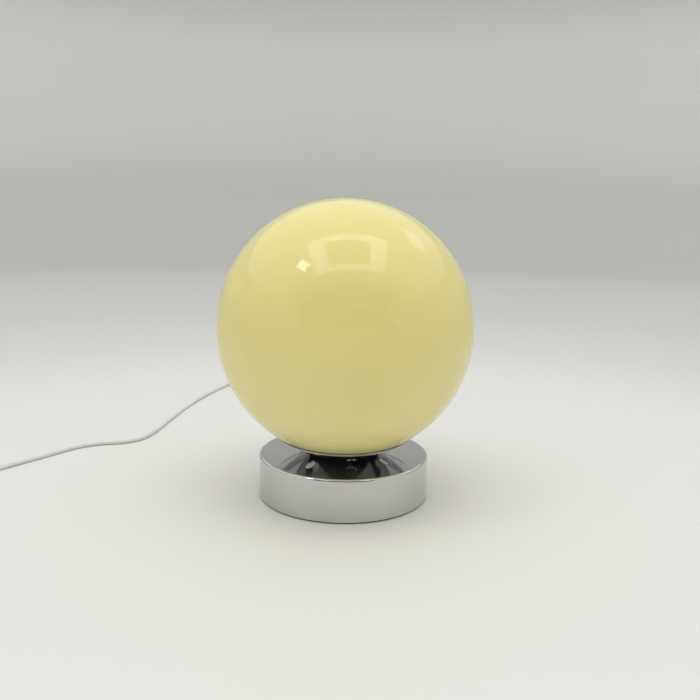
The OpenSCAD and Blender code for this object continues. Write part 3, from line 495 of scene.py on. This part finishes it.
def add_stage():
    """Pale floor that sweeps up into a pale grey wall all round, its tones painted light and shade."""
    around = ROUND_STEPS
    profile = [(0.6, 0.0), (1.2, 0.0), (FLOOR_R, 0.0)]
    profile += [(FLOOR_R + BEND_R * math.sin(a), BEND_R * (1 - math.cos(a)))
                for a in (math.pi / 2 * i / BEND_STEPS for i in range(1, BEND_STEPS + 1))]
    profile.append((FLOOR_R + BEND_R, WALL_TOP))
    points = [(r * math.cos(2 * math.pi * k / around), r * math.sin(2 * math.pi * k / around), z)
              for r, z in profile for k in range(around)]
    faces = [list(range(around))]
    for i in range(len(profile) - 1):
        for k in range(around):
            n = (k + 1) % around
            faces.append([i * around + k, (i + 1) * around + k, (i + 1) * around + n, i * around + n])
    mesh = bpy.data.meshes.new("sweep")
    mesh.from_pydata(points, [], faces)
    mesh.shade_smooth()
    floor = bpy.data.objects.new("sweep", mesh)
    SCENE.collection.objects.link(floor)
    look = Look("sweep", Roughness=0.55)
    x, y, z = look.axes()
    flat = look.math("SQRT", look.math("ADD", look.math("MULTIPLY", x, x), look.math("MULTIPLY", y, y)))
    away = look.math("DIVIDE", look.math("ADD", flat, z), TONES_SPAN)
    # Painted light and shade: paler near the lamp and low on the wall, darker elsewhere
    stops = [(s / TONES_SPAN, (tone, tone, tone * TONES_BLUE)) for s, tone in PAINTED_LIGHT_TONES]
    look.colour(look.ramp(away, stops))
    mesh.materials.append(look.material)


# The soft box: its middle, what it points at, its size in metres and its power
SOFT_BOX_AT, SOFT_BOX_AIM = Vector((0.05, -0.5, 2.2)), Vector((0, 0, 0.1))
SOFT_BOX_SIZE, SOFT_BOX_POWER = (2.1, 1.4), 14.5
# Tones of the dark and the pale panel
DARK_TONE, PALE_TONE = 0.03, 0.85


def add_panel(name, corners, tone):
    """Flat panel that shows in reflections only."""
    mesh = bpy.data.meshes.new(name)
    mesh.from_pydata(corners, [], [(0, 1, 2, 3)])
    panel = bpy.data.objects.new(name, mesh)
    SCENE.collection.objects.link(panel)
    panel.visible_camera = panel.visible_shadow = False
    panel.visible_diffuse = panel.visible_transmission = False
    look = Look(name, Roughness=0.8)
    look.shader.inputs["Base Color"].default_value = (tone, tone, tone, 1)
    mesh.materials.append(look.material)
    return panel


def add_panels():
    """The unlit room behind the photograph's camera, and what stands before the middle of its light."""
    left, right, low, high, y = -2.0, 2.0, 0.45, 2.2, -1.9
    corners = [(left, y, low), (right, y, low), (right, y, high), (left, y, high)]
    add_panel("dark_card", corners, DARK_TONE)
    left, right, low, high, ahead = -0.58, 0.55, -0.48, 0.40, 0.02
    corners = [(left, low, 0), (right, low, 0), (right, high, 0), (left, high, 0)]
    pane = add_panel("soft_box_pane", corners, PALE_TONE)
    towards = SOFT_BOX_AIM - SOFT_BOX_AT
    pane.location = SOFT_BOX_AT + towards.normalized() * ahead
    pane.rotation_euler = towards.to_track_quat("-Z", "Y").to_euler()


def add_area(name, place, target, size, power):
    """One flat lamp at a place, turned to its target."""
    data = bpy.data.lights.new(name, "AREA")
    data.shape, data.size, data.size_y, data.energy = "RECTANGLE", size[0], size[1], power
    lamp = bpy.data.objects.new(name, data)
    SCENE.collection.objects.link(lamp)
    lamp.location = place
    lamp.rotation_euler = (Vector(target) - Vector(place)).to_track_quat("-Z", "Y").to_euler()
    return lamp


# The room's strength by a direction's Y, which is -1 towards the photograph's camera
ROOM_BY_Y = {"From Min": -0.75, "From Max": -0.3, "To Min": 0.3, "To Max": 0.92}


def add_room():
    """A pale room all round, dimmer behind the photograph's camera."""
    world = bpy.data.worlds.new("room")
    SCENE.world = world
    world.use_nodes = True
    tree = world.node_tree
    background = tree.nodes["Background"]
    background.inputs["Color"].default_value = (1.0, 1.0, 0.99, 1)
    direction = tree.nodes.new("ShaderNodeSeparateXYZ")
    tree.links.new(tree.nodes.new("ShaderNodeTexCoord").outputs["Generated"], direction.inputs[0])
    strength = tree.nodes.new("ShaderNodeMapRange")
    for key, value in ROOM_BY_Y.items():
        strength.inputs[key].default_value = value
    tree.links.new(direction.outputs["Y"], strength.inputs["Value"])
    tree.links.new(strength.outputs[0], background.inputs["Strength"])


def add_lamps():
    """A large soft box overhead, two small lamps and a weak fill that shows in no reflection."""
    add_area("soft_box", SOFT_BOX_AT, SOFT_BOX_AIM, SOFT_BOX_SIZE, SOFT_BOX_POWER)
    add_area("left_lamp", (-1.26, -0.71, 2.09), (0, 0, 0.13), (0.40, 0.30), 2.6)
    add_area("right_lamp", (1.84, 1.52, 2.3), (0, 0, 0.13), (0.9, 0.6), 1.5)
    fill = add_area("front_fill", (0, -1.85, 0.22), (0, 0, 0.12), (3.0, 0.4), 0.9)
    fill.visible_glossy = False


SCENE.view_settings.view_transform = "Standard"
add_camera()
add_cords(cord_sheath("cord_skin"))
dress_nodes()
add_stage()
add_panels()
add_room()
add_lamps()
